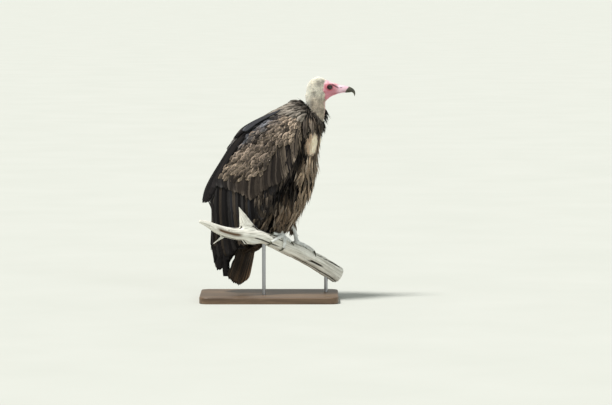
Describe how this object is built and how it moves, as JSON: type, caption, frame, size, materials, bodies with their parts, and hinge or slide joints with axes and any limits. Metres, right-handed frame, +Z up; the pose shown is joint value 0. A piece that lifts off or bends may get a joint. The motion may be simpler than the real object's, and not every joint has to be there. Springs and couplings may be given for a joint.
{
  "type": "hooded vulture model",
  "caption": "Life-size standing hooded vulture with folded wings, gripping a short cut length of dead branch held over a flat base by two short rods.",
  "frame": {"origin": "centre of the display base's underside, on the floor", "axes": "+X where the bird's head looks, +Y to its left, +Z up"},
  "size_m": [0.4266, 0.2759, 0.6145],
  "materials": {
    "plumage": "matte",
    "flight": "matte",
    "down": "matte",
    "face": "satin",
    "horn": "satin",
    "eye": "gloss",
    "leg": "matte",
    "dead_wood": "weathered",
    "base": "satin",
    "steel": "brushed"
  },
  "bodies": {
    "root": {"trunk": "plumage", "wing_coverts_right": "plumage", "wing_coverts_left": "plumage", "wing_tertials_right": "flight", "wing_tertials_left": "flight", "wing_quills_right": "flight", "wing_quills_left": "flight", "tail": "flight", "thigh_right": "plumage", "thigh_left": "plumage", "neck": "down", "head": "down", "jaw": "face", "bill_upper": "horn", "bill_lower": "horn", "eye_right": "eye", "eye_left": "eye", "foot_right": "leg", "foot_left": "leg", "claw_right_middle": "horn", "claw_right_outer": "horn", "claw_right_inner": "horn", "claw_right_hallux": "horn", "claw_left_middle": "horn", "claw_left_outer": "horn", "claw_left_inner": "horn", "claw_left_hallux": "horn", "perch_branch": "dead_wood", "perch_snag": "dead_wood", "stand_base": "base", "stand_rod_long": "steel", "stand_rod_short": "steel"}
  },
  "joints": []
}
